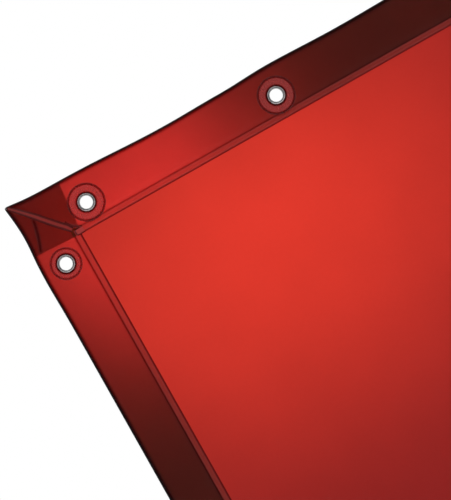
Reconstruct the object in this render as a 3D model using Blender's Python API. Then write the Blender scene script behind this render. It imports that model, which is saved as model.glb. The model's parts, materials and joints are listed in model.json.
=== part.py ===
"""A hemmed vinyl welding curtain with eyelets, hung from its top edge.

Metres, +X to the right, +Y to the rear, +Z up. The hems, the reinforcing discs and the eyelets' flanges
face the front, -Y. The origin is the centre of the middle top eyelet's hole. The header, the stiff
two-ply strip along the top, is fixed, and the curtain below it swings about the line of the header's weld.
"""

import math

import bmesh
import bpy
from mathutils import Matrix, Vector

# Overall sizes.
CURTAIN_WIDTH = 1.400
CURTAIN_HEIGHT = 1.800

# Sheet and hems.
VINYL_THICKNESS = 0.0004
HEM_WIDTH = 0.052
PLY_GAP = 0.0003
MITRE_SHIFT = 0.0003
CORNER_PLY_INSET = 0.0006

# The line on which the curtain swings.
SWING_GAP = 0.00045
HEM_SETBACK = 0.0022

# Eyelets: seven in the header, and an upper and a lower one in each side hem.
TOP_EYELETS = 7
TOP_EYELET_SINK = 0.002
TOP_DISC_LAP = 0.0002
SIDE_DISC_MARGIN = 0.0085
SIDE_DISC_CLEARANCE = 0.0020

HOLE_RADIUS = 0.00635
BARREL_WALL = 0.0005
FLANGE_WIDTH = 0.0031
FLANGE_HEIGHT = 0.0013
CURL_WIDTH = 0.0014
CURL_HEIGHT = 0.0008
WASHER_WIDTH = 0.0036
WASHER_THICKNESS = 0.0006
WASHER_RECESS = 0.0003
DISC_THICKNESS = 0.0008
TOP_DISC_WIDTH = 0.0090
SIDE_DISC_WIDTH = 0.0062
PIECE_GAP = 0.0003
ROUND_SEGMENTS = 20

# Worked out from the sizes above.
BARREL_RADIUS = HOLE_RADIUS + BARREL_WALL
FLANGE_RADIUS = HOLE_RADIUS + FLANGE_WIDTH
CURL_RADIUS = HOLE_RADIUS + CURL_WIDTH
PUNCH_RADIUS = BARREL_RADIUS + PIECE_GAP
WASHER_RADIUS = HOLE_RADIUS + WASHER_WIDTH
TOP_DISC_RADIUS = FLANGE_RADIUS + TOP_DISC_WIDTH
SIDE_DISC_RADIUS = FLANGE_RADIUS + SIDE_DISC_WIDTH

TOP_EYELET_DROP = HEM_WIDTH / 2 + TOP_EYELET_SINK
END_EYELET_INSET = HEM_WIDTH + TOP_DISC_RADIUS - TOP_DISC_LAP
SIDE_EYELET_INSET = SIDE_DISC_RADIUS + SIDE_DISC_MARGIN

# Depths of the faces, from the rear to the front. The sheet's middle lies at Y = 0.
SHEET_REAR = VINYL_THICKNESS / 2
SHEET_FRONT = -VINYL_THICKNESS / 2
PLY_REAR = SHEET_FRONT - PLY_GAP
PLY_FRONT = PLY_REAR - VINYL_THICKNESS
FLAP_REAR = PLY_FRONT - PLY_GAP
FLAP_FRONT = FLAP_REAR - VINYL_THICKNESS
DISC_REAR = FLAP_FRONT - PIECE_GAP
DISC_FRONT = DISC_REAR - DISC_THICKNESS
FLANGE_REAR = DISC_FRONT - PIECE_GAP
FLANGE_FRONT = FLANGE_REAR - FLANGE_HEIGHT
WASHER_FRONT = SHEET_REAR + PIECE_GAP
WASHER_REAR = WASHER_FRONT + WASHER_THICKNESS
WASHER_SEAT = WASHER_REAR - WASHER_RECESS
CURL_FRONT = WASHER_SEAT + PIECE_GAP
CURL_REAR = CURL_FRONT + CURL_HEIGHT

# Drops below the top edge.
SWING_DROP = HEM_WIDTH + SWING_GAP
SHEET_TOP_DROP = SWING_DROP + SWING_GAP
SIDE_HEM_TOP_DROP = SWING_DROP + HEM_SETBACK
SIDE_EYELET_DROP = SWING_DROP + SIDE_DISC_CLEARANCE + SIDE_DISC_RADIUS
LOWER_EYELET_DROP = CURTAIN_HEIGHT - SIDE_EYELET_DROP


def clear_scene():
    """Remove everything that the scene holds."""
    for obj in list(bpy.data.objects):
        bpy.data.objects.remove(obj, do_unlink=True)


def make_material(name, color, roughness, metallic=0.0):
    """A Principled material with one colour."""
    material = bpy.data.materials.new(name)
    material.use_nodes = True
    shader = material.node_tree.nodes["Principled BSDF"]
    shader.inputs["Base Color"].default_value = (*color, 1.0)
    shader.inputs["Roughness"].default_value = roughness
    shader.inputs["Metallic"].default_value = metallic
    return material


def at(across, drop, depth=0.0):
    """The point this far from the left edge, below the top edge and to the rear."""
    return Vector((across - CURTAIN_WIDTH / 2, depth, TOP_EYELET_DROP - drop))


def mirrored(outline):
    """The outline's mirror image in the curtain's upright centre line."""
    return [(CURTAIN_WIDTH - across, drop) for across, drop in outline]


def link(name, mesh, material):
    """Put a mesh in the scene as a named object."""
    mesh.materials.append(material)
    obj = bpy.data.objects.new(name, mesh)
    bpy.context.scene.collection.objects.link(obj)
    return obj


def mesh_from(form, name):
    """Turn a bmesh into a mesh whose faces point out, and free it."""
    bmesh.ops.recalc_face_normals(form, faces=form.faces)
    mesh = bpy.data.meshes.new(name)
    form.to_mesh(mesh)
    form.free()
    return mesh


def make_ply(name, outline, rear, front, material):
    """A flat piece of vinyl with this outline, given as (across, drop) corners."""
    form = bmesh.new()
    corners = [form.verts.new(at(across, drop, rear)) for across, drop in outline]
    face = form.faces.new(corners)
    grown = bmesh.ops.extrude_face_region(form, geom=[face])
    moved = [item for item in grown["geom"] if isinstance(item, bmesh.types.BMVert)]
    bmesh.ops.translate(form, verts=moved, vec=(0.0, front - rear, 0.0))
    return link(name, mesh_from(form, name), material)


def turn_profile(name, profile, centre, material):
    """Turn a closed (radius, depth) profile about the eyelet's axis, which runs along Y."""
    form = bmesh.new()
    rings = []
    for step in range(ROUND_SEGMENTS):
        angle = 2 * math.pi * step / ROUND_SEGMENTS
        outward = Vector((math.cos(angle), 0.0, math.sin(angle)))
        rings.append([form.verts.new(outward * radius + Vector((0, depth, 0))) for radius, depth in profile])
    for step, ring in enumerate(rings):
        following = rings[(step + 1) % ROUND_SEGMENTS]
        for index in range(len(profile)):
            after = (index + 1) % len(profile)
            form.faces.new((ring[index], ring[after], following[after], following[index]))
    obj = link(name, mesh_from(form, name), material)
    obj.data.shade_smooth()
    obj.data.set_sharp_from_angle(angle=math.radians(35))
    obj.location = centre
    return obj


def punch(obj, centres):
    """Punch the eyelets' round holes through a ply."""
    form = bmesh.new()
    upright = Matrix.Rotation(math.pi / 2, 4, "X")
    for centre in centres:
        bmesh.ops.create_cone(
            form,
            cap_ends=True,
            segments=ROUND_SEGMENTS,
            radius1=PUNCH_RADIUS,
            radius2=PUNCH_RADIUS,
            depth=2 * (CURL_REAR - FLANGE_FRONT),
            matrix=Matrix.Translation(centre) @ upright,
        )
    cutter = bpy.data.objects.new(obj.name + "_punch", mesh_from(form, obj.name + "_punch"))
    bpy.context.scene.collection.objects.link(cutter)
    cutter.hide_render = True
    cutter.display_type = "WIRE"
    holes = obj.modifiers.new("eyelet_holes", "BOOLEAN")
    holes.operation = "DIFFERENCE"
    holes.solver = "EXACT"
    holes.object = cutter
    return cutter


def make_eyelet(name, centre, disc_radius, metal, vinyl):
    """An eyelet's three pieces: the metal eyelet, its rear washer and the vinyl disc under its flange."""
    eyelet = turn_profile(
        name + "_eyelet",
        [
            (HOLE_RADIUS, FLANGE_FRONT + 0.5 * FLANGE_HEIGHT),
            (HOLE_RADIUS + 0.15 * FLANGE_WIDTH, FLANGE_FRONT + 0.1 * FLANGE_HEIGHT),
            (HOLE_RADIUS + 0.45 * FLANGE_WIDTH, FLANGE_FRONT),
            (HOLE_RADIUS + 0.85 * FLANGE_WIDTH, FLANGE_FRONT + 0.35 * FLANGE_HEIGHT),
            (FLANGE_RADIUS, FLANGE_REAR),
            (BARREL_RADIUS, FLANGE_REAR),
            (BARREL_RADIUS, CURL_FRONT),
            (CURL_RADIUS, CURL_FRONT),
            (CURL_RADIUS - 0.2 * CURL_WIDTH, CURL_REAR),
            (HOLE_RADIUS, CURL_FRONT + 0.6 * CURL_HEIGHT),
        ],
        centre,
        metal,
    )
    washer = turn_profile(
        name + "_washer",
        [
            (PUNCH_RADIUS, WASHER_FRONT),
            (PUNCH_RADIUS, WASHER_SEAT),
            (CURL_RADIUS + PIECE_GAP, WASHER_SEAT),
            (CURL_RADIUS + PIECE_GAP, WASHER_REAR),
            (WASHER_RADIUS, WASHER_REAR),
            (WASHER_RADIUS, WASHER_FRONT),
        ],
        centre,
        metal,
    )
    disc = turn_profile(
        name + "_disc",
        [
            (PUNCH_RADIUS, DISC_REAR),
            (disc_radius, DISC_REAR),
            (disc_radius, DISC_REAR - 0.6 * DISC_THICKNESS),
            (disc_radius - 0.5 * DISC_THICKNESS, DISC_FRONT),
            (PUNCH_RADIUS, DISC_FRONT),
        ],
        centre,
        vinyl,
    )
    return [eyelet, washer, disc]


def top_eyelet_centres():
    """The header's eyelets, evenly spaced between the two end ones."""
    pitch = (CURTAIN_WIDTH - 2 * END_EYELET_INSET) / (TOP_EYELETS - 1)
    return [at(END_EYELET_INSET + index * pitch, TOP_EYELET_DROP) for index in range(TOP_EYELETS)]


def side_eyelet_centres():
    """The side hems' eyelets, by name."""
    left = SIDE_EYELET_INSET
    right = CURTAIN_WIDTH - SIDE_EYELET_INSET
    return {
        "left_upper": at(left, SIDE_EYELET_DROP),
        "left_lower": at(left, LOWER_EYELET_DROP),
        "right_upper": at(right, SIDE_EYELET_DROP),
        "right_lower": at(right, LOWER_EYELET_DROP),
    }


def corner_ply_outline(first_drop, last_drop):
    """The folded-in square at a left corner, between these drops."""
    return [
        (CORNER_PLY_INSET, first_drop),
        (HEM_WIDTH, first_drop),
        (HEM_WIDTH, last_drop),
        (CORNER_PLY_INSET, last_drop),
    ]


def make_header(vinyl, hem, corner, disc, metal):
    """The stiff strip along the top, with its seven eyelets."""
    sheet_outline = [(0, 0), (CURTAIN_WIDTH, 0), (CURTAIN_WIDTH, HEM_WIDTH), (0, HEM_WIDTH)]
    flap_outline = [
        (MITRE_SHIFT, 0),
        (CURTAIN_WIDTH - MITRE_SHIFT, 0),
        (CURTAIN_WIDTH - HEM_WIDTH - MITRE_SHIFT, HEM_WIDTH),
        (HEM_WIDTH + MITRE_SHIFT, HEM_WIDTH),
    ]
    end_outline = [(0, MITRE_SHIFT), (HEM_WIDTH - MITRE_SHIFT, HEM_WIDTH), (0, HEM_WIDTH)]
    corner_outline = corner_ply_outline(CORNER_PLY_INSET, HEM_WIDTH)
    sheet = make_ply("header_sheet", sheet_outline, SHEET_REAR, SHEET_FRONT, vinyl)
    flap = make_ply("top_hem_flap", flap_outline, FLAP_REAR, FLAP_FRONT, hem)
    make_ply("left_hem_upper_end", end_outline, FLAP_REAR, FLAP_FRONT, hem)
    make_ply("right_hem_upper_end", mirrored(end_outline), FLAP_REAR, FLAP_FRONT, hem)
    make_ply("top_left_corner_ply", corner_outline, PLY_REAR, PLY_FRONT, corner)
    make_ply("top_right_corner_ply", mirrored(corner_outline), PLY_REAR, PLY_FRONT, corner)
    centres = top_eyelet_centres()
    punch(sheet, centres)
    punch(flap, centres)
    for number, centre in enumerate(centres, start=1):
        make_eyelet(f"top_{number}", centre, TOP_DISC_RADIUS, metal, disc)


def make_curtain(vinyl, hem, corner, disc, metal):
    """The limp sheet below the header, its side and bottom hems and their eyelets, on the swing line."""
    inner_drop = CURTAIN_HEIGHT - HEM_WIDTH
    sheet_outline = [
        (0, SHEET_TOP_DROP),
        (CURTAIN_WIDTH, SHEET_TOP_DROP),
        (CURTAIN_WIDTH, CURTAIN_HEIGHT),
        (0, CURTAIN_HEIGHT),
    ]
    side_outline = [
        (0, SIDE_HEM_TOP_DROP),
        (HEM_WIDTH, SIDE_HEM_TOP_DROP),
        (HEM_WIDTH, inner_drop - MITRE_SHIFT),
        (0, CURTAIN_HEIGHT - MITRE_SHIFT),
    ]
    bottom_outline = [
        (MITRE_SHIFT, CURTAIN_HEIGHT),
        (HEM_WIDTH + MITRE_SHIFT, inner_drop),
        (CURTAIN_WIDTH - HEM_WIDTH - MITRE_SHIFT, inner_drop),
        (CURTAIN_WIDTH - MITRE_SHIFT, CURTAIN_HEIGHT),
    ]
    corner_outline = corner_ply_outline(inner_drop, CURTAIN_HEIGHT - CORNER_PLY_INSET)
    sheet = make_ply("main_sheet", sheet_outline, SHEET_REAR, SHEET_FRONT, vinyl)
    left = make_ply("left_hem_flap", side_outline, FLAP_REAR, FLAP_FRONT, hem)
    right = make_ply("right_hem_flap", mirrored(side_outline), FLAP_REAR, FLAP_FRONT, hem)
    bottom = make_ply("bottom_hem_flap", bottom_outline, FLAP_REAR, FLAP_FRONT, hem)
    left_corner = make_ply("bottom_left_corner_ply", corner_outline, PLY_REAR, PLY_FRONT, corner)
    right_corner = make_ply("bottom_right_corner_ply", mirrored(corner_outline), PLY_REAR, PLY_FRONT, corner)
    centres = side_eyelet_centres()
    pieces = [sheet, left, right, bottom, left_corner, right_corner]
    pieces.append(punch(sheet, centres.values()))
    pieces.append(punch(left, [centres["left_upper"], centres["left_lower"]]))
    pieces.append(punch(right, [centres["right_upper"], centres["right_lower"]]))
    for name, centre in centres.items():
        pieces.extend(make_eyelet(name, centre, SIDE_DISC_RADIUS, metal, disc))
    hang_on_swing_line(pieces)


def hang_on_swing_line(pieces):
    """Parent the swinging pieces to an empty on the swing line, where they are."""
    line = bpy.data.objects.new("swing_line", None)
    bpy.context.scene.collection.objects.link(line)
    line.location = at(CURTAIN_WIDTH / 2, SWING_DROP)
    for piece in pieces:
        piece.parent = line
        piece.location = piece.location - line.location


def main():
    clear_scene()
    vinyl = make_material("sheet_vinyl", (0.66, 0.035, 0.018), 0.35)
    hem = make_material("hem_vinyl", (0.45, 0.014, 0.012), 0.35)
    corner = make_material("corner_vinyl", (0.14, 0.006, 0.004), 0.35)
    disc = make_material("disc_vinyl", (0.42, 0.016, 0.014), 0.2)
    metal = make_material("eyelet_metal", (0.62, 0.61, 0.60), 0.25, metallic=1.0)
    make_header(vinyl, hem, corner, disc, metal)
    make_curtain(vinyl, hem, corner, disc, metal)


main()
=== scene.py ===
"""The looks of the vinyl welding curtain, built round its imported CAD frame.

Metres. Places on the curtain are given as across, from its left edge, and drop, from its top edge.
"""

import json
import math

import bmesh
import bpy
import numpy as np
from mathutils import Matrix, Vector

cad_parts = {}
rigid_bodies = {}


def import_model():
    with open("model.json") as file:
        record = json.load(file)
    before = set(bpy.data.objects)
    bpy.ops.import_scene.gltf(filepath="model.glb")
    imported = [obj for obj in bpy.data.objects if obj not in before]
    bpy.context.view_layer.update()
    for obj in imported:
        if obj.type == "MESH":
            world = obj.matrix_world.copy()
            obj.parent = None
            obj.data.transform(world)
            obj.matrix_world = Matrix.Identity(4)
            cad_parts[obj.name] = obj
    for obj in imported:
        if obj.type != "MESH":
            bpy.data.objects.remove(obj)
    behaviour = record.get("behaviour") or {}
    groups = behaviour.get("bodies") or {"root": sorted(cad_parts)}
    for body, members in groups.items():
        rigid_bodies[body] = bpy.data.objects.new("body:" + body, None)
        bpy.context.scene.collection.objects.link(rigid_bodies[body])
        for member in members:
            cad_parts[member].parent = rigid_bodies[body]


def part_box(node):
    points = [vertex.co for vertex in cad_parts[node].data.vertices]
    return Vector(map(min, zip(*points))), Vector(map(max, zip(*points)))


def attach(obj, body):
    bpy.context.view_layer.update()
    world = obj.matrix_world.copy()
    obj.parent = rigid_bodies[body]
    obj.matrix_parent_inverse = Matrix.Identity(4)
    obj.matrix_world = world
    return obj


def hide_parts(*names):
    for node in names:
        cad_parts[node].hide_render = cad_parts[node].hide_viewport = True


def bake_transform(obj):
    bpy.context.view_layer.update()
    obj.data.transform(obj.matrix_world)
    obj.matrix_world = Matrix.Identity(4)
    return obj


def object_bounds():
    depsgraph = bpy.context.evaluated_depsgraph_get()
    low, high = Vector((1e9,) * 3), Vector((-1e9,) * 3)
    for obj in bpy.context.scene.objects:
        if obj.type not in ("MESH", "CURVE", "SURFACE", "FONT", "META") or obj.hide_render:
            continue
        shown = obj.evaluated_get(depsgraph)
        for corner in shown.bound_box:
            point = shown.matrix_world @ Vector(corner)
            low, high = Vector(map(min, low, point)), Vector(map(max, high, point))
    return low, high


MM = 0.001

# Sizes that the CAD shares.
PLY = 0.4 * MM
HOLE_RADIUS = 6.35 * MM
PUNCH_RADIUS = 7.15 * MM

# The top eyelets: how far across the first one is, and how far apart they are.
FIRST_EYELET = 70.25 * MM
EYELET_PITCH = 209.917 * MM

# Where the top edge leaves its even scallops: (across, how much lower, width), in millimetres.
UNEVEN_SCALLOPS = [(246, 1.1, 26), (400, -1.6, 55)]

# The vinyl discs' outer radii, in millimetres.
TOP_DISC_RADIUS = 18.8
SIDE_DISC_RADIUS = 15.9

# How far in the hems' welded inner edges are, and how wide the weld's band is, in millimetres.
LEVEL_HEM_INNER = 52.2
UPRIGHT_HEM_INNER = 51.4
WELD_BAND = 7.2

# The folded hems.
CORNER_DEPTH = -0.7 * MM
FOLD_INSET = 2.0 * MM
END_ZONE = 60 * MM

# How far the sheet's folds stand out at the bottom.
FOLD_HEIGHT = 6.0 * MM

# The camera.
VIEW_ACROSS = 164.4 * MM
VIEW_DROP = 134 * MM
VIEW_HEIGHT = 482 * MM
VIEW_ROLL = 29.4
VIEW_DISTANCE = 3.5

# The tint of the painted shade at the cloth's outer folds, creases, grooves and rims: what the vinyl
# darkens to at an edge value of 0.5 and of 1.
PAINTED_SHADE_HALF = (0.30, 0.004, 0.002, 1.0)
PAINTED_SHADE_FULL = (0.050, 0.002, 0.002, 1.0)

# The light behind the curtain: a spot's centre and spread as (across, drop), and the colours in it and
# far from it. One spot is for the hems and the other for the sheet between them.
HEM_SPOT = (0.114, 0.069)
HEM_SPREAD = (0.127, 0.119)
HEM_BRIGHT = (1.44, 7.4, 11.5, 1.0)
HEM_DARK = (0.03, 0.7, 0.2, 1.0)
MIDDLE_SPOT = (0.208, 0.143)
MIDDLE_SPREAD = (0.258, 0.187)
MIDDLE_BRIGHT = (1.09, 1.09, 1.15, 1.0)
MIDDLE_DARK = (0.28, 0.28, 0.52, 1.0)


def smooth(value, start, end):
    """0 before start, 1 after end, and a smooth step between them."""
    t = np.clip((np.asarray(value, float) - start) / (end - start), 0.0, 1.0)
    return t * t * (3 - 2 * t)


def bell(value, centre, width):
    return np.exp(-(((value - centre) / width) ** 2))


class Curtain:
    """The curtain's outer size and the shape that its cloth takes as it hangs."""

    def __init__(self, lowest, highest):
        self.width = highest.x - lowest.x
        self.height = highest.z - lowest.z
        self.left = lowest.x
        self.top = highest.z

    def eyelets(self, names):
        return {name: sum(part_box(name + "_eyelet"), Vector()) / 2 for name in names}

    def edge_shift(self, across, drop):
        """How far the eyelets and corners pull the cloth from its nominal place, as (across, down)."""
        side = np.minimum(across, self.width - across)
        foot = self.height - drop
        pulled = 1.5 * MM + 0.6 * MM * bell(side, 0, 90 * MM)
        scallop = -0.8 * MM - pulled * np.cos(2 * math.pi * (across - FIRST_EYELET) / EYELET_PITCH)
        for place, lower, width in UNEVEN_SCALLOPS:
            scallop = scallop + lower * MM * bell(across, place * MM, width * MM)
        flare = -6.8 * MM * np.exp(-((np.maximum(side, 0) / (24 * MM)) ** 1.2))
        down = (scallop + flare) * (1 - smooth(drop, 0, 44 * MM))
        sag = 1.2 * MM * np.cos(2 * math.pi * (across - 0.7) / 0.34)
        sag = sag - 2.2 * MM * np.exp(-side / (15 * MM))
        down = down - sag * (1 - smooth(foot, 0, 44 * MM))
        end = np.minimum(drop, foot)
        pull = -2.7 * MM * np.exp(-np.maximum(end, 0) / (9 * MM))
        pull = pull + 1.5 * MM * bell(end, 30 * MM, 19 * MM)
        pull = pull - 0.8 * MM * bell(end, 78 * MM, 28 * MM) - 0.5 * MM
        pull = pull * (1 - smooth(side, 0, 40 * MM))
        blunt = 1.6 * MM * np.exp(-np.maximum(side + end, 0) / (2.5 * MM))
        pull = pull + blunt
        down = down + np.where(drop < foot, blunt, -blunt)
        return np.where(across < self.width / 2, pull, -pull), down

    def ripple(self, across, drop):
        """How far the cloth stands to the rear: soft upright folds that grow towards the bottom."""
        grow = smooth(drop, 0.12, 1.55)
        side = np.minimum(across, self.width - across)
        inside = 0.12 + 0.88 * smooth(side, 0.02, 0.22)
        u = across / self.width
        lean = 0.05 * np.sin(2.1 * drop + 0.6)
        wave = np.sin(2 * math.pi * (3.2 * (u + lean) + 0.12))
        wave = 0.72 * wave + 0.28 * np.sin(2 * math.pi * (7.1 * (u - 0.6 * lean) + 0.3) + 1.3 * drop)
        return FOLD_HEIGHT * grow * inside * wave

    def place(self, across, drop, depth):
        """Where these points of the cloth lie, as an array of points."""
        shift_across, shift_down = self.edge_shift(across, drop)
        x = self.left + across + shift_across
        y = depth + self.ripple(across, drop)
        z = self.top - drop - shift_down
        return np.stack([x, y, z], axis=-1)


def link(name, mesh, materials):
    for material in materials:
        mesh.materials.append(material)
    piece = bpy.data.objects.new(name, mesh)
    bpy.context.scene.collection.objects.link(piece)
    return piece


def mesh_of(name, points, faces, sharp=45, edge=None):
    """A smooth-shaded mesh whose faces point out. Its points' edge values, 0 to 1, paint shade into the
    vinyl.
    """
    mesh = bpy.data.meshes.new(name)
    mesh.from_pydata([tuple(p) for p in points], [], faces)
    if edge is not None:
        values = mesh.attributes.new("edge", "FLOAT", "POINT")
        values.data.foreach_set("value", np.asarray(edge, np.float32).ravel())
    form = bmesh.new()
    form.from_mesh(mesh)
    bmesh.ops.recalc_face_normals(form, faces=form.faces)
    form.to_mesh(mesh)
    form.free()
    mesh.shade_smooth()
    mesh.set_sharp_from_angle(angle=math.radians(sharp))
    return mesh


def slab(name, front, rear, materials, edge=None):
    """A closed thin piece between two grids of points of the same shape."""
    rows, columns = front.shape[:2]
    count = rows * columns
    points = np.concatenate([front.reshape(-1, 3), rear.reshape(-1, 3)])
    at = np.arange(count).reshape(rows, columns)
    faces = []
    for i in range(rows - 1):
        for j in range(columns - 1):
            a, b, c, d = at[i, j], at[i, j + 1], at[i + 1, j + 1], at[i + 1, j]
            faces.append((a, b, c, d))
            faces.append((d + count, c + count, b + count, a + count))
    rim = list(at[0, :]) + list(at[1:, -1]) + list(at[-1, -2::-1]) + list(at[-2:0:-1, 0])
    for a, b in zip(rim, rim[1:] + rim[:1]):
        faces.append((b, a, a + count, b + count))
    both = None if edge is None else np.concatenate([edge.ravel(), edge.ravel()])
    return link(name, mesh_of(name, points, faces, edge=both), materials)


def swept(name, rings, materials, edge=None):
    """A closed piece through these rings of points, capped at both ends."""
    rows, columns = rings.shape[:2]
    at = np.arange(rows * columns).reshape(rows, columns)
    faces = [tuple(at[0, ::-1]), tuple(at[-1])]
    for i in range(rows - 1):
        for j in range(columns):
            k = (j + 1) % columns
            faces.append((at[i, j], at[i, k], at[i + 1, k], at[i + 1, j]))
    return link(name, mesh_of(name, rings.reshape(-1, 3), faces, edge=edge), materials)


def turned(name, profile, centre, material, segments, sharp, dark=None):
    """A closed (radius, depth) profile in millimetres, turned about an eyelet's axis.

    dark, where given, says what edge value, that is how much painted shade, a point of the profile has.
    """
    edge = None if dark is None else np.tile([dark(r, d) for r, d in profile], segments)
    profile = np.array(profile) * MM
    angle = np.linspace(0, 2 * math.pi, segments, endpoint=False)
    radius, depth = profile[:, 0], profile[:, 1]
    points = np.stack(
        [
            np.outer(np.cos(angle), radius),
            np.tile(depth, (segments, 1)),
            np.outer(np.sin(angle), radius),
        ],
        axis=-1,
    ).reshape(-1, 3)
    count = len(profile)
    faces = []
    for i in range(segments):
        k = (i + 1) % segments
        for j in range(count):
            n = (j + 1) % count
            faces.append((i * count + j, i * count + n, k * count + n, k * count + j))
    mesh = mesh_of(name, points + np.array(centre), faces, sharp, edge)
    return link(name, mesh, [material])


def rounded(points, steps=4):
    """A closed (radius, depth) profile. A corner whose third number isn't 0 is rounded, that far back."""
    out = []
    count = len(points)
    for index, (r, d, cut) in enumerate(points):
        here = Vector((r, d))
        if not cut:
            out.append((r, d))
            continue
        before = Vector(points[index - 1][:2])
        after = Vector(points[(index + 1) % count][:2])
        first = here + (before - here).normalized() * cut
        last = here + (after - here).normalized() * cut
        for step in range(steps + 1):
            t = step / steps
            p = first * (1 - t) ** 2 + here * 2 * t * (1 - t) + last * t**2
            out.append((p.x, p.y))
    return out


def punch(piece, centres):
    """Cut the eyelets' round holes through a piece of cloth."""
    form = bmesh.new()
    upright = Matrix.Rotation(math.pi / 2, 4, "X")
    for centre in centres:
        place = Matrix.Translation(centre) @ upright
        bmesh.ops.create_cone(
            form,
            cap_ends=True,
            segments=48,
            radius1=PUNCH_RADIUS,
            radius2=PUNCH_RADIUS,
            depth=30 * MM,
            matrix=place,
        )
    mesh = bpy.data.meshes.new(piece.name + "_punch")
    form.to_mesh(mesh)
    form.free()
    cutter = bpy.data.objects.new(piece.name + "_punch", mesh)
    bpy.context.scene.collection.objects.link(cutter)
    holes = piece.modifiers.new("holes", "BOOLEAN")
    holes.operation = "DIFFERENCE"
    holes.solver = "EXACT"
    holes.object = cutter
    bpy.context.view_layer.objects.active = piece
    bpy.ops.object.modifier_apply(modifier=holes.name)
    bpy.data.objects.remove(cutter, do_unlink=True)


# ---------------------------------------------------------------- materials


class Graph:
    """A short way to add nodes to a node tree."""

    def __init__(self, tree):
        self.tree = tree
        self.tree.nodes.clear()

    def add(self, kind, inputs=None, **settings):
        node = self.tree.nodes.new(kind)
        for key, value in settings.items():
            setattr(node, key, value)
        for key, value in (inputs or {}).items():
            if isinstance(value, bpy.types.NodeSocket):
                self.tree.links.new(value, node.inputs[key])
            else:
                node.inputs[key].default_value = value
        return node

    def math(self, operation, first, second=0.0, third=0.0):
        return self.add("ShaderNodeMath", {0: first, 1: second, 2: third}, operation=operation).outputs[0]

    def remap(self, value, low, high, to_low=0.0, to_high=1.0, kind="SMOOTHSTEP"):
        inputs = {"Value": value, "From Min": low, "From Max": high}
        inputs.update({"To Min": to_low, "To Max": to_high})
        return self.add("ShaderNodeMapRange", inputs, interpolation_type=kind).outputs[0]

    def blend(self, factor, first, second):
        """A colour between two others."""
        inputs = {0: factor, 6: first, 7: second}
        return self.add("ShaderNodeMix", inputs, data_type="RGBA").outputs[2]

    def noise(self, vector, scale, detail=2.0, roughness=0.5):
        inputs = {"Vector": vector, "Scale": scale, "Detail": detail, "Roughness": roughness}
        return self.add("ShaderNodeTexNoise", inputs).outputs[0]

    def ramp(self, value, stops):
        node = self.add("ShaderNodeValToRGB", {"Fac": value})
        band = node.color_ramp
        while len(band.elements) < len(stops):
            band.elements.new(0.5)
        for element, (position, color) in zip(band.elements, stops):
            element.position = position
            element.color = (*color, 1.0)
        return node.outputs[0]


def vinyl(name, color, transmission, roughness, coat=0.15, grain=1.0):
    """Tinted clear PVC: a mottled tint, a fine calendered grain, soft waviness and light scuffs."""
    material = bpy.data.materials.new(name)
    material.use_nodes = True
    graph = Graph(material.node_tree)
    place = graph.add("ShaderNodeTexCoord").outputs["Object"]
    mottle = graph.noise(place, 9.0, 3.0, 0.55)
    speck = graph.noise(place, 240.0, 2.0, 0.6)
    mostly_mottle = graph.math("MULTIPLY", mottle, 0.75)
    shade = graph.math("ADD", mostly_mottle, graph.math("MULTIPLY", speck, 0.25))
    dark = [c * 0.95 for c in color]
    light = [min(1.0, c * 1.04) for c in color]
    tint = graph.ramp(shade, [(0.36, dark), (0.64, light)])
    # The edge value paints shade into the tint: the vinyl darkens at its folds, creases, grooves and rims.
    edge = graph.add("ShaderNodeAttribute", attribute_name="edge").outputs["Fac"]
    tint = graph.blend(graph.remap(edge, 0.0, 0.5, kind="LINEAR"), tint, PAINTED_SHADE_HALF)
    tint = graph.blend(graph.remap(edge, 0.5, 1.0, kind="LINEAR"), tint, PAINTED_SHADE_FULL)
    scratch_place = graph.add("ShaderNodeMapping", {"Vector": place, "Scale": (60.0, 60.0, 9.0)}).outputs[0]
    scratches = graph.noise(scratch_place, 6.0, 4.0, 0.6)
    scuffs = graph.remap(scratches, 0.56, 0.74)
    rough = graph.math("ADD", graph.math("MULTIPLY", scuffs, 0.10), roughness)
    wave = graph.noise(place, 34.0, 2.0, 0.5)
    fine = graph.noise(place, 900.0, 1.0, 0.5)
    broad = graph.add(
        "ShaderNodeBump", {"Strength": 0.16 * grain, "Distance": 0.002, "Height": wave}
    ).outputs[0]
    bump = graph.add(
        "ShaderNodeBump", {"Strength": 0.04 * grain, "Distance": 0.0003, "Height": fine, "Normal": broad}
    ).outputs[0]
    shader = graph.add(
        "ShaderNodeBsdfPrincipled",
        {
            "Base Color": tint,
            "Roughness": rough,
            "Normal": bump,
            "IOR": 1.5,
            "Transmission Weight": transmission,
            "Coat Weight": coat,
            "Coat Roughness": 0.12,
        },
    )
    graph.add("ShaderNodeOutputMaterial", {"Surface": shader.outputs[0]})
    return material


def metal(name, color, roughness):
    """Plated brass: faint tarnish and small dents."""
    material = bpy.data.materials.new(name)
    material.use_nodes = True
    graph = Graph(material.node_tree)
    place = graph.add("ShaderNodeTexCoord").outputs["Object"]
    cloud = graph.noise(place, 260.0, 4.0, 0.6)
    dark = [c * 0.72 for c in color]
    tint = graph.ramp(cloud, [(0.38, dark), (0.62, color)])
    fine = graph.noise(place, 1500.0, 2.0, 0.6)
    rough = graph.remap(cloud, 0.35, 0.65, roughness * 0.75, roughness * 1.4, "LINEAR")
    bump = graph.add("ShaderNodeBump", {"Strength": 0.2, "Distance": 0.0002, "Height": fine}).outputs[0]
    shader = graph.add(
        "ShaderNodeBsdfPrincipled",
        {"Base Color": tint, "Roughness": rough, "Normal": bump, "Metallic": 1.0},
    )
    graph.add("ShaderNodeOutputMaterial", {"Surface": shader.outputs[0]})
    return material


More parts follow.
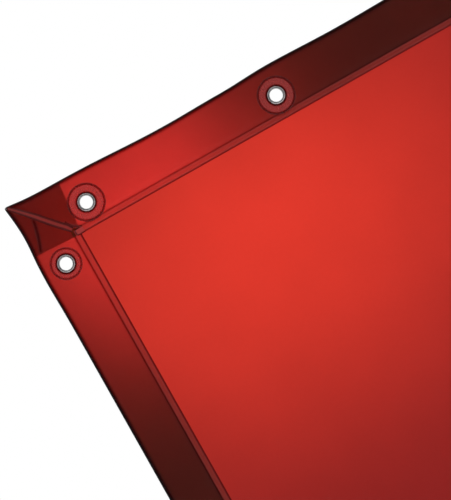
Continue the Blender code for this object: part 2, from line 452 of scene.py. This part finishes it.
def floor_material():
    material = bpy.data.materials.new("studio_floor")
    material.use_nodes = True
    graph = Graph(material.node_tree)
    place = graph.add("ShaderNodeTexCoord").outputs["Object"]
    greys = [(0.3, (0.86, 0.86, 0.85)), (0.7, (0.90, 0.90, 0.89))]
    tint = graph.ramp(graph.noise(place, 3.0, 3.0), greys)
    shader = graph.add("ShaderNodeBsdfPrincipled", {"Base Color": tint, "Roughness": 0.6})
    graph.add("ShaderNodeOutputMaterial", {"Surface": shader.outputs[0]})
    return material


# ---------------------------------------------------------------- cloth


def spaced(length, fine, coarse, zone=END_ZONE, extra=()):
    """Stations along a length: fine in a zone at both ends and coarse between."""
    near = np.arange(0, zone, fine)
    middle = np.linspace(zone, length - zone, max(2, round((length - 2 * zone) / coarse)) + 1)
    stations = np.concatenate([near, middle, length - near[::-1], np.array(extra, float)])
    return np.unique(np.round(stations, 6))


def hinge_stations():
    return np.arange(50.5, 56.0, 0.35) * MM


def make_sheet(curtain, material, centres):
    inner_width = curtain.width - 2 * FOLD_INSET
    inner_height = curtain.height - 2 * FOLD_INSET
    across = FOLD_INSET + spaced(inner_width, 4 * MM, 12 * MM)
    drop = FOLD_INSET + spaced(inner_height, 4 * MM, 12 * MM, extra=hinge_stations() - FOLD_INSET)
    across, drop = np.meshgrid(across, drop)
    front = curtain.place(across, drop, -PLY / 2)
    rear = curtain.place(across, drop, PLY / 2)
    sheet = slab("vinyl_sheet", front, rear, [material])
    punch(sheet, centres)
    return sheet


def hem_profile(inner, step):
    """The hem's (inset, depth) line from its welded inner edge to its outer fold and back to the sheet."""
    weld = [(0.0, -0.46), (-0.5, -0.46), (-1.1, -0.50), (-1.7, -0.60), (-2.3, -0.82), (-3.2, -0.94)]
    weld += [(-4.3, -0.95), (-5.3, -0.86), (-6.0, -0.66)]
    groove = [(-6.5, -0.54), (-7.0, -0.50), (-7.6, -0.54), (-8.6, -0.68), (-10.0, -0.90), (-11.6, -1.12)]
    groove += [(-13.4, -1.29), (-15.4, -1.38)]
    line = [(inner + p, d) for p, d in weld + groove]
    flat_start = line[-1][0]
    for inset in np.arange(flat_start - step, 6.5 + step / 2, -step):
        line.append((inset, -1.4))
    fold = [(6.5, -1.42), (5.4, -1.46), (4.4, -1.53), (3.6, -1.61), (2.8, -1.69), (2.2, -1.75)]
    fold += [(1.6, -1.78), (1.0, -1.70), (0.42, -1.42), (0.2, -1.0)]
    line += fold + [(0.35, -0.58), (0.8, -0.25), (1.4, -0.06), (2.0, 0.0)]
    return np.array(line) * MM


def thickened(line):
    """A closed ring of (inset, depth) points round a line, as thick as the cloth."""
    step = np.gradient(line, axis=0)
    normal = np.stack([-step[:, 1], step[:, 0]], axis=1)
    normal /= np.linalg.norm(normal, axis=1)[:, None]
    return np.concatenate([line + normal * PLY / 2, (line - normal * PLY / 2)[::-1]])


def wrinkle(points, line, height, width):
    """How high each (across, drop) point stands on a crease along a line. It fades at its ends."""
    line = np.array(line) * MM
    best = np.full(points.shape[:-1], 1.0)
    where = np.zeros(points.shape[:-1])
    for index, (a, b) in enumerate(zip(line, line[1:])):
        t = np.clip(((points - a) @ (b - a)) / ((b - a) @ (b - a)), 0, 1)
        away = np.linalg.norm(points - (a + t[..., None] * (b - a)), axis=-1)
        nearer = away < best
        best = np.where(nearer, away, best)
        where = np.where(nearer, (index + t) / (len(line) - 1), where)
    fade = np.sin(np.pi * np.clip(where, 0.02, 0.98)) ** 0.6
    return height * MM * fade * bell(best, 0, width * MM)


def hem_painted_shade(inset, inner, fold, groove):
    """The edge value across a hem, as painted shade: dark at its outer fold, its inner edge and the groove
    between.
    """
    inset = inset / MM
    fold_shade = fold * (1 - smooth(inset, 0.8, 5.6))
    outer_groove_shade = groove * bell(inset, inner - WELD_BAND, 1.0)
    inner_edge_shade = groove * smooth(inset, inner - 2.2, inner - 1.2)
    return np.maximum(np.maximum(fold_shade, outer_groove_shade), inner_edge_shade)


def make_hem(curtain, name, side, inner, materials, creases=(), step=2.0):
    """One hem: cloth folded to the front, welded down along its inner edge and mitred at its ends."""
    level = side in ("top", "bottom")
    length = curtain.width if level else curtain.height
    extra = () if level else np.arange(40, 58, 0.6) * MM
    stations = spaced(length, 0.75 * step * MM, 9 * MM, extra=extra)
    ring = thickened(hem_profile(inner, step))
    inset, depth = ring[:, 0], ring[:, 1]
    # The painted shade's strength at the outer fold and in the weld's grooves.
    fold, groove = (0.9, 0.42) if level else (1.0, 0.55)
    edge = np.tile(hem_painted_shade(inset, inner, fold, groove), (len(stations), 1))
    start = np.minimum(stations[:, None], END_ZONE) / END_ZONE
    finish = np.minimum(length - stations[:, None], END_ZONE) / END_ZONE
    mitred = inset[None, :] + 0.2 * MM
    along = stations[:, None] + mitred * (1 - start) - mitred * (1 - finish)
    inset = np.tile(inset, (len(stations), 1))
    depth = np.tile(depth, (len(stations), 1))
    across, drop = {
        "top": (along, inset),
        "bottom": (along, curtain.height - inset),
        "left": (inset, along),
        "right": (curtain.width - inset, along),
    }[side]
    on_flap = smooth(-depth, 0.9 * MM, 1.2 * MM)
    here = np.stack([across, drop], axis=-1)
    for line, height, width in creases:
        raised = wrinkle(here, line, height, width)
        depth = depth - on_flap * raised
        # Painted shade along each crease, darkest on its crown.
        edge = np.maximum(edge, 0.7 * raised / (height * MM))
    rings = curtain.place(across, drop, depth)
    hem = swept(name, rings, materials, edge)
    middle = np.array([face.center for face in hem.data.polygons])
    inward = {
        "top": curtain.top - middle[:, 2],
        "bottom": curtain.height - curtain.top + middle[:, 2],
        "left": middle[:, 0] - curtain.left,
        "right": curtain.left + curtain.width - middle[:, 0],
    }[side]
    welded = inward > (inner - WELD_BAND) * MM
    hem.data.polygons.foreach_set("material_index", welded.astype(np.int32))
    return hem


def make_corner(curtain, name, outline, flip_across, flip_drop, material):
    """The square of cloth folded in under a corner's mitre. The outline is four (across, drop) corners."""
    steps = np.linspace(0, 1, 25)
    a, b, c, d = np.array(outline) * MM
    u, v = np.meshgrid(steps, steps)
    u, v = u[..., None], v[..., None]
    flat = a * (1 - u) * (1 - v) + b * u * (1 - v) + c * u * v + d * (1 - u) * v
    across, drop = flat[..., 0], flat[..., 1]
    if flip_across:
        across = curtain.width - across
    if flip_drop:
        drop = curtain.height - drop
    front = curtain.place(across, drop, CORNER_DEPTH - PLY / 2)
    rear = curtain.place(across, drop, CORNER_DEPTH + PLY / 2)
    return slab(name, front, rear, [material])


def make_ridge(curtain, name, path, widths, depths, flip_across, flip_drop, material, dark):
    """A low rounded strip of welded cloth along a path of (across, drop) points, in millimetres.

    dark is the place, width and height of the peak of painted shade on its front, where a place of 0 is its
    middle and 1 is its sides. Its first end gets as much painted shade.
    """
    path = np.array(path) * MM
    spots = np.linspace(0, len(path) - 1, 40)
    index = np.arange(len(path))
    line = np.stack([np.interp(spots, index, path[:, k]) for k in range(2)], axis=1)
    width = np.interp(spots, index, widths) * MM
    crown = np.interp(spots, index, depths) * MM
    step = np.gradient(line, axis=0)
    sideways = np.stack([-step[:, 1], step[:, 0]], axis=1)
    sideways /= np.linalg.norm(sideways, axis=1)[:, None]
    section = [(-1.0, 0.05), (-0.9, 0.10), (-0.8, 0.17), (-0.7, 0.28), (-0.5, 0.62), (-0.3, 0.88)]
    section += [(-0.12, 0.99)]
    section += [(-s, h) for s, h in section[::-1]]
    foot = -1.3 * MM
    shelf = -1.62 * MM
    rings = []
    for centre, way, half, top in zip(line, sideways, width / 2, crown):
        base = min(shelf, top)
        ring = [(*(centre + way * half * s), base + (top - shelf) * h) for s, h in section]
        ring += [(*(centre + way * half * s * 0.98), foot) for s, h in section[::-1]]
        rings.append(ring)
    rings = np.array(rings)
    place, spread, peak = dark
    # Painted shade in lines along the ridge's front, and at its first end.
    front = np.array([peak * bell(abs(s), place, spread) for s, _ in section])
    first_end_shade = peak * bell(np.linalg.norm(line - line[0], axis=1), 0, 1.1 * MM)
    edge = np.maximum(front[None, :], first_end_shade[:, None])
    edge = np.concatenate([edge, np.zeros_like(edge)], axis=1)
    across, drop = rings[..., 0], rings[..., 1]
    if flip_across:
        across = curtain.width - across
    if flip_drop:
        drop = curtain.height - drop
    return swept(name, curtain.place(across, drop, rings[..., 2]), [material], edge)


# ---------------------------------------------------------------- eyelets


def make_eyelet(name, centre, disc_radius, rim_shade, materials):
    """An eyelet's flanged metal ring, its rear washer and the vinyl disc under its flange."""
    ring_metal, washer_metal, disc_vinyl = materials
    hole = HOLE_RADIUS / MM
    flange = hole + 2.45

    # The disc's painted shade: a dark ring on its front round the metal flange, and a dark band on its
    # front towards its outer rim.
    def rim(radius, depth):
        inner = 0.75 * (1 - smooth(radius, 9.4, 11.2))
        outer = rim_shade * smooth(radius, disc_radius - 2.9, disc_radius - 1.4)
        return float(max(outer, inner)) if depth < -2.0 else 0.0

    ring = [
        (hole, -3.45),
        (hole + 0.08, -3.80),
        (hole + 0.27, -4.08),
        (hole + 0.62, -4.26),
        (hole + 0.98, -4.30),
        (hole + 1.41, -4.22),
        (hole + 1.80, -4.02),
        (hole + 2.12, -3.70),
        (hole + 2.34, -3.36),
        (flange, -3.02),
        (flange - 0.05, -2.98),
        (hole + 0.9, -2.98),
        (hole + 0.5, -2.8),
        (hole + 0.5, 1.15),
        (hole + 0.6, 1.30),
        (hole + 1.25, 1.22),
        (hole + 1.40, 1.45),
        (hole + 1.34, 1.78),
        (hole + 1.10, 2.04),
        (hole + 0.72, 2.14),
        (hole + 0.34, 2.02),
        (hole + 0.08, 1.70),
        (hole, 1.30),
    ]
    washer = rounded(
        [
            (7.15, 0.5, 0),
            (7.15, 0.8, 0),
            (8.05, 0.8, 0.1),
            (8.05, 1.1, 0.15),
            (9.95, 1.1, 0.25),
            (9.95, 0.5, 0),
        ]
    )
    disc = rounded(
        [
            (7.15, -1.9, 0),
            (disc_radius - 0.25, -1.9, 0.1),
            (disc_radius, -2.1, 0.1),
            (disc_radius - 0.5, -2.5, 0.3),
            (disc_radius - 1.4, -2.64, 0.2),
            (disc_radius - 2.2, -2.7, 0.2),
            (disc_radius - 3.0, -2.72, 0.2),
            (flange + 2.4, -2.72, 0.2),
            (flange + 1.5, -2.7, 0.2),
            (flange + 0.8, -2.6, 0.2),
            (flange, -2.5, 0.2),
            (7.15, -2.5, 0),
        ]
    )
    return [
        turned(name + "_ring", ring, centre, ring_metal, 72, 60),
        turned(name + "_rear_ring", washer, centre, washer_metal, 64, 50),
        turned(name + "_pad", disc, centre, disc_vinyl, 96, 60, rim),
    ]


# ---------------------------------------------------------------- studio


def make_world():
    """White to the camera. To the object, a studio with light at its sides and a dim camera side."""
    world = bpy.data.worlds.new("studio_light")
    world.use_nodes = True
    world.cycles.sampling_method = "NONE"
    bpy.context.scene.world = world
    graph = Graph(world.node_tree)
    way = graph.add("ShaderNodeSeparateXYZ", {0: graph.add("ShaderNodeTexCoord").outputs["Generated"]})
    half = graph.math("MULTIPLY_ADD", way.outputs["Y"], 0.5, 0.5)
    seen = graph.ramp(
        half,
        [
            (0.0, (0.05, 0.05, 0.055)),
            (0.045, (0.07, 0.07, 0.075)),
            (0.11, (0.80, 0.80, 0.80)),
            (0.34, (0.95, 0.95, 0.95)),
            (0.50, (0.45, 0.45, 0.46)),
            (1.0, (0.75, 0.75, 0.75)),
        ],
    )
    high = graph.math("MULTIPLY_ADD", way.outputs["Z"], 0.25, 0.9)
    lit = graph.add("ShaderNodeVectorMath", {0: seen, "Scale": high}, operation="SCALE").outputs[0]
    square_on = graph.math("ABSOLUTE", way.outputs["Y"])
    through = graph.ramp(
        square_on,
        [
            (0.0, (0.35, 0.35, 0.35)),
            (0.60, (0.35, 0.35, 0.35)),
            (1.0, (0.5, 0.5, 0.5)),
        ],
    )
    path = graph.add("ShaderNodeLightPath")
    passed = path.outputs["Is Transmission Ray"]
    dimmed = graph.add("ShaderNodeVectorMath", {0: lit, "Scale": 0.5}, operation="SCALE").outputs[0]
    light = graph.blend(path.outputs["Is Diffuse Ray"], dimmed, lit)
    light = graph.blend(passed, light, through)
    light = graph.blend(path.outputs["Is Camera Ray"], light, (1.0, 1.0, 1.0, 1.0))
    background = graph.add("ShaderNodeBackground", {"Color": light, "Strength": 1.0})
    graph.add("ShaderNodeOutputWorld", {"Surface": background.outputs[0]})


def gaussian(graph, across, drop, centre, spread):
    """A smooth spot of light round a place on the curtain."""
    a = graph.math("MULTIPLY", graph.math("SUBTRACT", across, centre[0]), 1 / spread[0])
    d = graph.math("MULTIPLY", graph.math("SUBTRACT", drop, centre[1]), 1 / spread[1])
    square = graph.math("ADD", graph.math("MULTIPLY", a, a), graph.math("MULTIPLY", d, d))
    return graph.math("EXPONENT", graph.math("MULTIPLY", square, -1.0))


def make_backlight(curtain):
    """A light table close behind the curtain, bright behind its upper left corner.

    It follows the cloth, glows to its front only, and only light that has passed the vinyl sees it.
    """
    material = bpy.data.materials.new("backlight")
    material.use_nodes = True
    material.cycles.emission_sampling = "NONE"
    graph = Graph(material.node_tree)
    position = graph.add("ShaderNodeNewGeometry").outputs["Position"]
    spot = graph.add("ShaderNodeSeparateXYZ", {0: position})
    across = graph.math("SUBTRACT", spot.outputs["X"], curtain.left)
    drop = graph.math("SUBTRACT", curtain.top, spot.outputs["Z"])
    side = graph.math("MINIMUM", across, graph.math("SUBTRACT", curtain.width, across))
    foot = graph.math("MINIMUM", drop, graph.math("SUBTRACT", curtain.height, drop))
    inset = graph.math("MINIMUM", graph.math("ADD", side, 0.8 * MM), foot)
    in_middle = graph.remap(inset, 50.2 * MM, 51.6 * MM)
    hem_spot = gaussian(graph, across, drop, HEM_SPOT, HEM_SPREAD)
    hem_light = graph.blend(hem_spot, HEM_DARK, HEM_BRIGHT)
    middle_spot = gaussian(graph, across, drop, MIDDLE_SPOT, MIDDLE_SPREAD)
    middle_light = graph.blend(middle_spot, MIDDLE_DARK, MIDDLE_BRIGHT)
    light = graph.blend(in_middle, hem_light, middle_light)
    glow = graph.add("ShaderNodeEmission", {"Color": light, "Strength": 1.0})
    clear = graph.add("ShaderNodeBsdfTransparent")
    behind = graph.add("ShaderNodeNewGeometry").outputs["Backfacing"]
    mixed = graph.add("ShaderNodeMixShader", {0: behind, 1: glow.outputs[0], 2: clear.outputs[0]})
    graph.add("ShaderNodeOutputMaterial", {"Surface": mixed.outputs[0]})
    past = 10 * MM
    across = np.linspace(-past, curtain.width + past, 72)
    drop = np.linspace(-past, curtain.height + past, 92)
    across, drop = np.meshgrid(across, drop)
    points = curtain.place(across, drop, 4 * MM)
    at = np.arange(across.size).reshape(across.shape)
    faces = np.stack([at[1:, :-1], at[1:, 1:], at[:-1, 1:], at[:-1, :-1]], axis=-1).reshape(-1, 4)
    mesh = bpy.data.meshes.new("backlight")
    mesh.from_pydata(points.reshape(-1, 3).tolist(), [], faces.tolist())
    panel = link("backlight", mesh, [material])
    panel.visible_camera = False
    panel.visible_diffuse = False
    panel.visible_glossy = False
    panel.visible_shadow = False
    panel.visible_volume_scatter = False


def make_floor(curtain):
    form = bmesh.new()
    bmesh.ops.create_circle(form, cap_ends=True, segments=96, radius=4.0)
    mesh = bpy.data.meshes.new("floor")
    form.to_mesh(mesh)
    form.free()
    floor = link("floor", mesh, [floor_material()])
    floor.location.z = curtain.top - curtain.height - 0.06


def make_camera(curtain):
    camera = bpy.data.objects.new("camera", bpy.data.cameras.new("camera"))
    bpy.context.scene.collection.objects.link(camera)
    roll = math.radians(VIEW_ROLL)
    right = Vector((math.cos(roll), 0.0, -math.sin(roll)))
    up = Vector((math.sin(roll), 0.0, math.cos(roll)))
    back = Vector((0.0, -1.0, 0.0))
    target = Vector((curtain.left + VIEW_ACROSS, 0.0, curtain.top - VIEW_DROP))
    turn = Matrix((right, up, back)).transposed().to_4x4()
    camera.matrix_world = Matrix.Translation(target + back * VIEW_DISTANCE) @ turn
    camera.data.sensor_width = 36.0
    camera.data.lens = 36.0 * VIEW_DISTANCE / VIEW_HEIGHT
    camera.data.clip_start = 0.1
    camera.data.clip_end = 100.0
    bpy.context.scene.camera = camera


# ---------------------------------------------------------------- build


for obj in list(bpy.data.objects):
    bpy.data.objects.remove(obj, do_unlink=True)

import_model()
cad_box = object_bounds()
curtain = Curtain(cad_box[0], cad_box[1])
bpy.context.scene.view_settings.view_transform = "Standard"

m_sheet = vinyl("sheet_vinyl_look", (0.78, 0.040, 0.022), 0.97, 0.30)
m_hem = vinyl("hem_vinyl_look", (0.80, 0.120, 0.110), 0.98, 0.30)
m_weld = vinyl("weld_look", (0.85, 0.080, 0.062), 0.70, 0.34, coat=0.1, grain=2.0)
m_mitre = vinyl("mitre_look", (0.92, 0.110, 0.095), 0.68, 0.34, coat=0.1, grain=2.0)
m_band_end = vinyl("band_end_look", (0.96, 0.120, 0.110), 0.55, 0.34, coat=0.1, grain=2.0)
m_corner = vinyl("corner_vinyl_look", (0.37, 0.150, 0.020), 0.97, 0.35)
m_disc = vinyl("disc_vinyl_look", (0.96, 0.175, 0.165), 0.70, 0.26, coat=0.1)
m_ring = metal("eyelet_metal_look", (0.86, 0.85, 0.86), 0.24)
m_washer = metal("washer_metal_look", (0.78, 0.78, 0.78), 0.32)

top_names = [f"top_{i}" for i in range(1, 8)]
side_names = ["left_upper", "left_lower", "right_upper", "right_lower"]
top = curtain.eyelets(top_names)
sides = curtain.eyelets(side_names)
for centres in (top, sides):
    for centre in centres.values():
        centre.y = 0.0

header_pieces = []
curtain_pieces = []

sheet = make_sheet(curtain, m_sheet, [*top.values(), *sides.values()])
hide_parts("header_sheet", "main_sheet")

hem_materials = [m_hem, m_weld]
left_creases = [([(17.8, 19), (16.6, 21.5), (13.4, 33.1), (8.8, 47.2), (8.4, 50)], 0.7, 1.6)]
top_hem = make_hem(curtain, "top_hem", "top", LEVEL_HEM_INNER, hem_materials)
punch(top_hem, top.values())
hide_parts("top_hem_flap")
left_hem = make_hem(curtain, "left_hem", "left", UPRIGHT_HEM_INNER, hem_materials, left_creases, 1.2)
punch(left_hem, [sides["left_upper"], sides["left_lower"]])
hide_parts("left_hem_flap", "left_hem_upper_end")
right_hem = make_hem(curtain, "right_hem", "right", UPRIGHT_HEM_INNER, hem_materials)
punch(right_hem, [sides["right_upper"], sides["right_lower"]])
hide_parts("right_hem_flap", "right_hem_upper_end")
bottom_hem = make_hem(curtain, "bottom_hem", "bottom", LEVEL_HEM_INNER, hem_materials)
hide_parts("bottom_hem_flap")

corner_outline = [(2.4, 2.4), (56.0, 2.4), (51.6, 52.2), (2.4, 49.9)]
# Each corner's welded ridges: (ending, path, widths, depths, material, dark), in millimetres, where dark
# places the painted shade on the ridge's front.
ridges = [
    (
        "_mitre",
        [(2.6, 1.8), (11.1, 10.0), (20.6, 19.0), (31.5, 29.9), (41.9, 40.0), (45.4, 44.6)],
        [3.6, 5.4, 6.8, 7.2, 7.0, 5.6],
        [-2.1, -2.3, -2.3, -2.3, -2.3, -2.0],
        m_mitre,
        (0.70, 0.30, 0.8),
    ),
    (
        "_tab",
        [(42.6, 34.9), (47.0, 41.0), (51.2, 44.1), (55.6, 45.4)],
        [2.0, 3.0, 3.0, 1.6],
        [-1.75, -1.95, -1.95, -1.7],
        m_weld,
        (0.0, 0.7, 0.65),
    ),
    (
        "_band_end",
        [(46.4, 49.2), (47.6, 49.1), (51.0, 48.9), (55.6, 48.7)],
        [3.0, 6.6, 7.2, 7.2],
        [-1.9, -2.15, -2.1, -1.5],
        m_band_end,
        (0.9, 0.2, 0.8),
    ),
]
for place, (flip_across, flip_drop, pieces) in {
    "top_left": (False, False, header_pieces),
    "top_right": (True, False, header_pieces),
    "bottom_left": (False, True, curtain_pieces),
    "bottom_right": (True, True, curtain_pieces),
}.items():
    ply = make_corner(curtain, place + "_inner_ply", corner_outline, flip_across, flip_drop, m_corner)
    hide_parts(place + "_corner_ply")
    pieces.append(ply)
    for ending, path, widths, depths, material, dark in ridges:
        ridge = make_ridge(
            curtain, place + ending, path, widths, depths, flip_across, flip_drop, material, dark
        )
        pieces.append(ridge)

header_pieces.append(top_hem)
curtain_pieces.append(bottom_hem)
for names, centres, radius, rim_shade, pieces in (
    (top_names, top, TOP_DISC_RADIUS, 0.62, header_pieces),
    (side_names, sides, SIDE_DISC_RADIUS, 0.5, curtain_pieces),
):
    for name in names:
        made = make_eyelet(name, centres[name], radius, rim_shade, (m_ring, m_washer, m_disc))
        for piece, node, slot in zip(
            made, ("_eyelet", "_washer", "_disc"), ("eyelet_metal", "eyelet_metal", "disc_vinyl")
        ):
            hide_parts(name + node)
        pieces.extend(made)

for piece in header_pieces:
    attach(piece, "header")
for piece in curtain_pieces:
    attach(piece, "curtain")

for piece in (sheet, left_hem, right_hem):
    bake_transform(piece)

make_world()
make_backlight(curtain)
make_floor(curtain)
make_camera(curtain)
